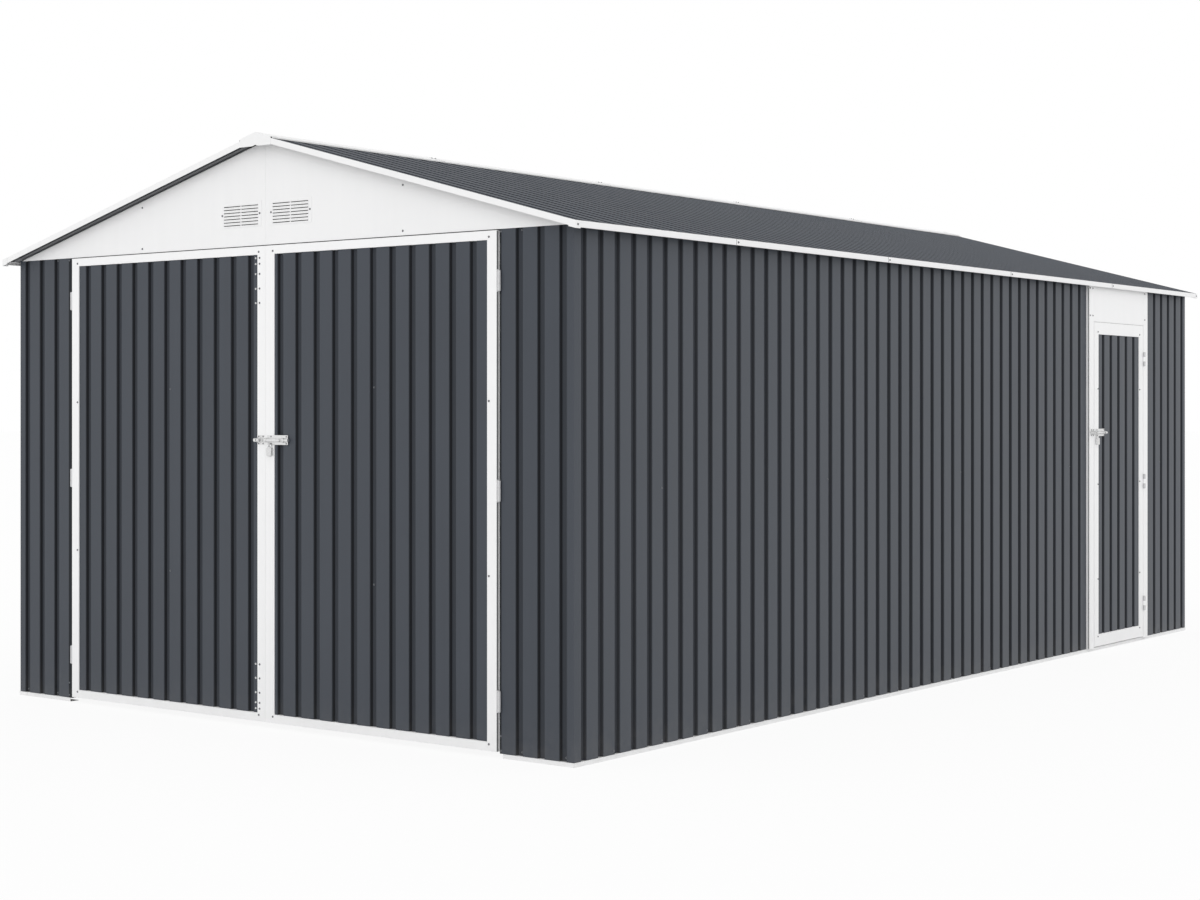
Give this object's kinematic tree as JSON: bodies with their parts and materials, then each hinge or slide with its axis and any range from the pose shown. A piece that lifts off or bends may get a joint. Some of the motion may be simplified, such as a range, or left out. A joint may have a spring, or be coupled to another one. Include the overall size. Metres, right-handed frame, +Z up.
{
  "type": "metal garage",
  "caption": "Ribbed steel garage with a low gable roof, double front doors with a sliding bolt, a side door and louvred gable vents.",
  "frame": {"origin": "on the ground at the centre of the footprint and of the overall box", "axes": "+Z up, +X to the right seen from the front, +Y from the front doors to the rear wall; the side door is in the +X wall"},
  "size_m": [3.426, 6.223, 2.5257],
  "materials": {
    "dark_wall_sheet": "satin coated ribbed sheet",
    "dark_roof_sheet": "satin coated ribbed sheet",
    "white_trim": "satin white paint",
    "galvanised_frame": "galvanised, fine spangle",
    "zinc_fittings": "bright zinc plate",
    "padlock_metal": "satin plated"
  },
  "bodies": {
    "garage": {"end_base_rails": "white_trim", "side_base_rails": "white_trim", "front_wall_left": "dark_wall_sheet", "front_wall_right": "dark_wall_sheet", "rear_wall": "dark_wall_sheet", "left_wall": "dark_wall_sheet", "right_wall_front": "dark_wall_sheet", "right_wall_rear": "dark_wall_sheet", "corner_strips": "dark_wall_sheet", "wall_posts": "galvanised_frame", "mid_rails": "galvanised_frame", "side_top_rails": "galvanised_frame", "end_top_rails": "galvanised_frame", "front_door_posts": "galvanised_frame", "side_door_jambs": "white_trim", "side_door_header": "white_trim", "front_gable": "white_trim", "rear_gable": "white_trim", "gable_vents": "white_trim", "ridge_beam": "galvanised_frame", "rafters": "galvanised_frame", "roof_left": "dark_roof_sheet", "roof_right": "dark_roof_sheet", "ridge_cap": "white_trim", "eave_trims": "white_trim", "rake_trims": "white_trim", "roof_end_caps": "white_trim", "fixed_hinges": "zinc_fittings", "side_keeper": "zinc_fittings"},
    "left_leaf": {"left_door_frame": "white_trim", "left_door_panel": "dark_wall_sheet", "left_door_hinges": "zinc_fittings", "front_keeper": "zinc_fittings"},
    "right_leaf": {"right_door_frame": "white_trim", "right_door_panel": "dark_wall_sheet", "right_door_hinges": "zinc_fittings", "front_latch": "zinc_fittings", "front_padlock": "padlock_metal"},
    "front_bolt": {"front_bolt": "zinc_fittings"},
    "side_leaf": {"side_door_frame": "white_trim", "side_door_panel": "dark_wall_sheet", "side_door_hinges": "zinc_fittings", "side_latch": "zinc_fittings", "side_padlock": "padlock_metal"},
    "side_bolt": {"side_bolt": "zinc_fittings"}
  },
  "joints": [
    {"name": "left_door_hinge", "type": "hinge", "parent": "garage", "child": "left_leaf", "pos_m": [-1.271, -3.0575, 1.032], "axis": [0, 0, -1], "range_deg": [0, 110]},
    {"name": "right_door_hinge", "type": "hinge", "parent": "garage", "child": "right_leaf", "pos_m": [1.297, -3.0575, 1.032], "axis": [0, 0, 1], "range_deg": [0, 110]},
    {"name": "front_bolt_slide", "type": "slide", "parent": "right_leaf", "child": "front_bolt", "axis": [1, 0, 0], "range_m": [-0.075, 0]},
    {"name": "side_door_hinge", "type": "hinge", "parent": "garage", "child": "side_leaf", "pos_m": [1.684, 2.357, 0.932], "axis": [0, 0, 1], "range_deg": [0, 110]},
    {"name": "side_bolt_slide", "type": "slide", "parent": "side_leaf", "child": "side_bolt", "axis": [0, 1, 0], "range_m": [-0.075, 0]}
  ]
}
